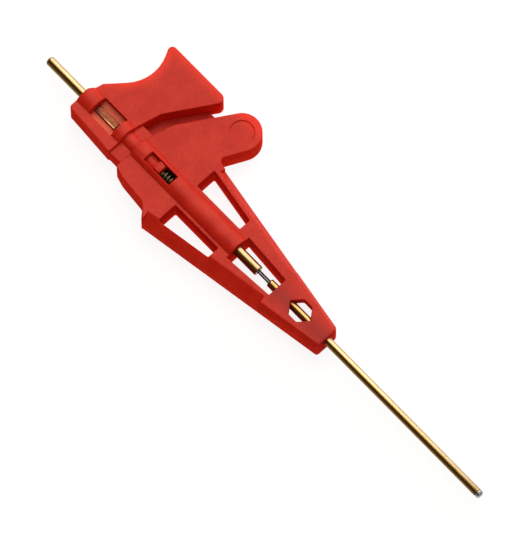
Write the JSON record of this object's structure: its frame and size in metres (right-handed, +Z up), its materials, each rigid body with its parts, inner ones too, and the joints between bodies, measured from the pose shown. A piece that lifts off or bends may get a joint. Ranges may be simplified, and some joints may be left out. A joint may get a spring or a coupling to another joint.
{
  "type": "smd test clip",
  "caption": "Thumb-operated micro test clip: a sprung slider pushes wire jaws out of a long needle tube to grip a fine component lead, with a rear pin for a test lead.",
  "frame": {"origin": "on the needle's axis, where the rear pin leaves the thumb slider", "axes": "+X along the needle towards the jaws, +Y towards the finger wing, +Z up from the flat plates, out of the slotted side"},
  "size_m": [0.0506, 0.0127, 0.0029],
  "materials": {
    "red_plastic": "satin moulded plastic",
    "gold_plating": "polished gold plating",
    "dull_gold": "dulled gold plating",
    "spring_steel": "drawn wire",
    "dark_wire": "dull drawn wire"
  },
  "bodies": {
    "frame": {"clip_body": "red_plastic", "needle_tube": "gold_plating", "return_spring": "spring_steel"},
    "slider": {"thumb_slider": "red_plastic", "rear_pin": "gold_plating", "contact_sleeve": "dull_gold", "push_tube": "gold_plating", "grip_wire_left": "dark_wire", "grip_wire_right": "dark_wire"},
    "left_jaw": {"jaw_left": "spring_steel"},
    "right_jaw": {"jaw_right": "spring_steel"}
  },
  "joints": [
    {"name": "thumb_press", "type": "slide", "parent": "frame", "child": "slider", "axis": [1, 0, 0], "range_m": [0, 0.00125], "stiffness_N_per_m": 400, "springref_m": -0.001, "deforming": ["return_spring"]},
    {"name": "left_jaw_spread", "type": "hinge", "parent": "slider", "child": "left_jaw", "pos_m": [0.04466, 0.00009, 0], "axis": [0, 0, 1], "range_deg": [0, 9]},
    {"name": "right_jaw_spread", "type": "hinge", "parent": "slider", "child": "right_jaw", "pos_m": [0.04466, -0.00009, 0], "axis": [0, 0, 1], "range_deg": [-9, 0]}
  ],
  "couplings": [
    {"joint": "left_jaw_spread", "follows": "thumb_press", "rad_per_m": 125.6},
    {"joint": "right_jaw_spread", "follows": "thumb_press", "rad_per_m": -125.6}
  ]
}
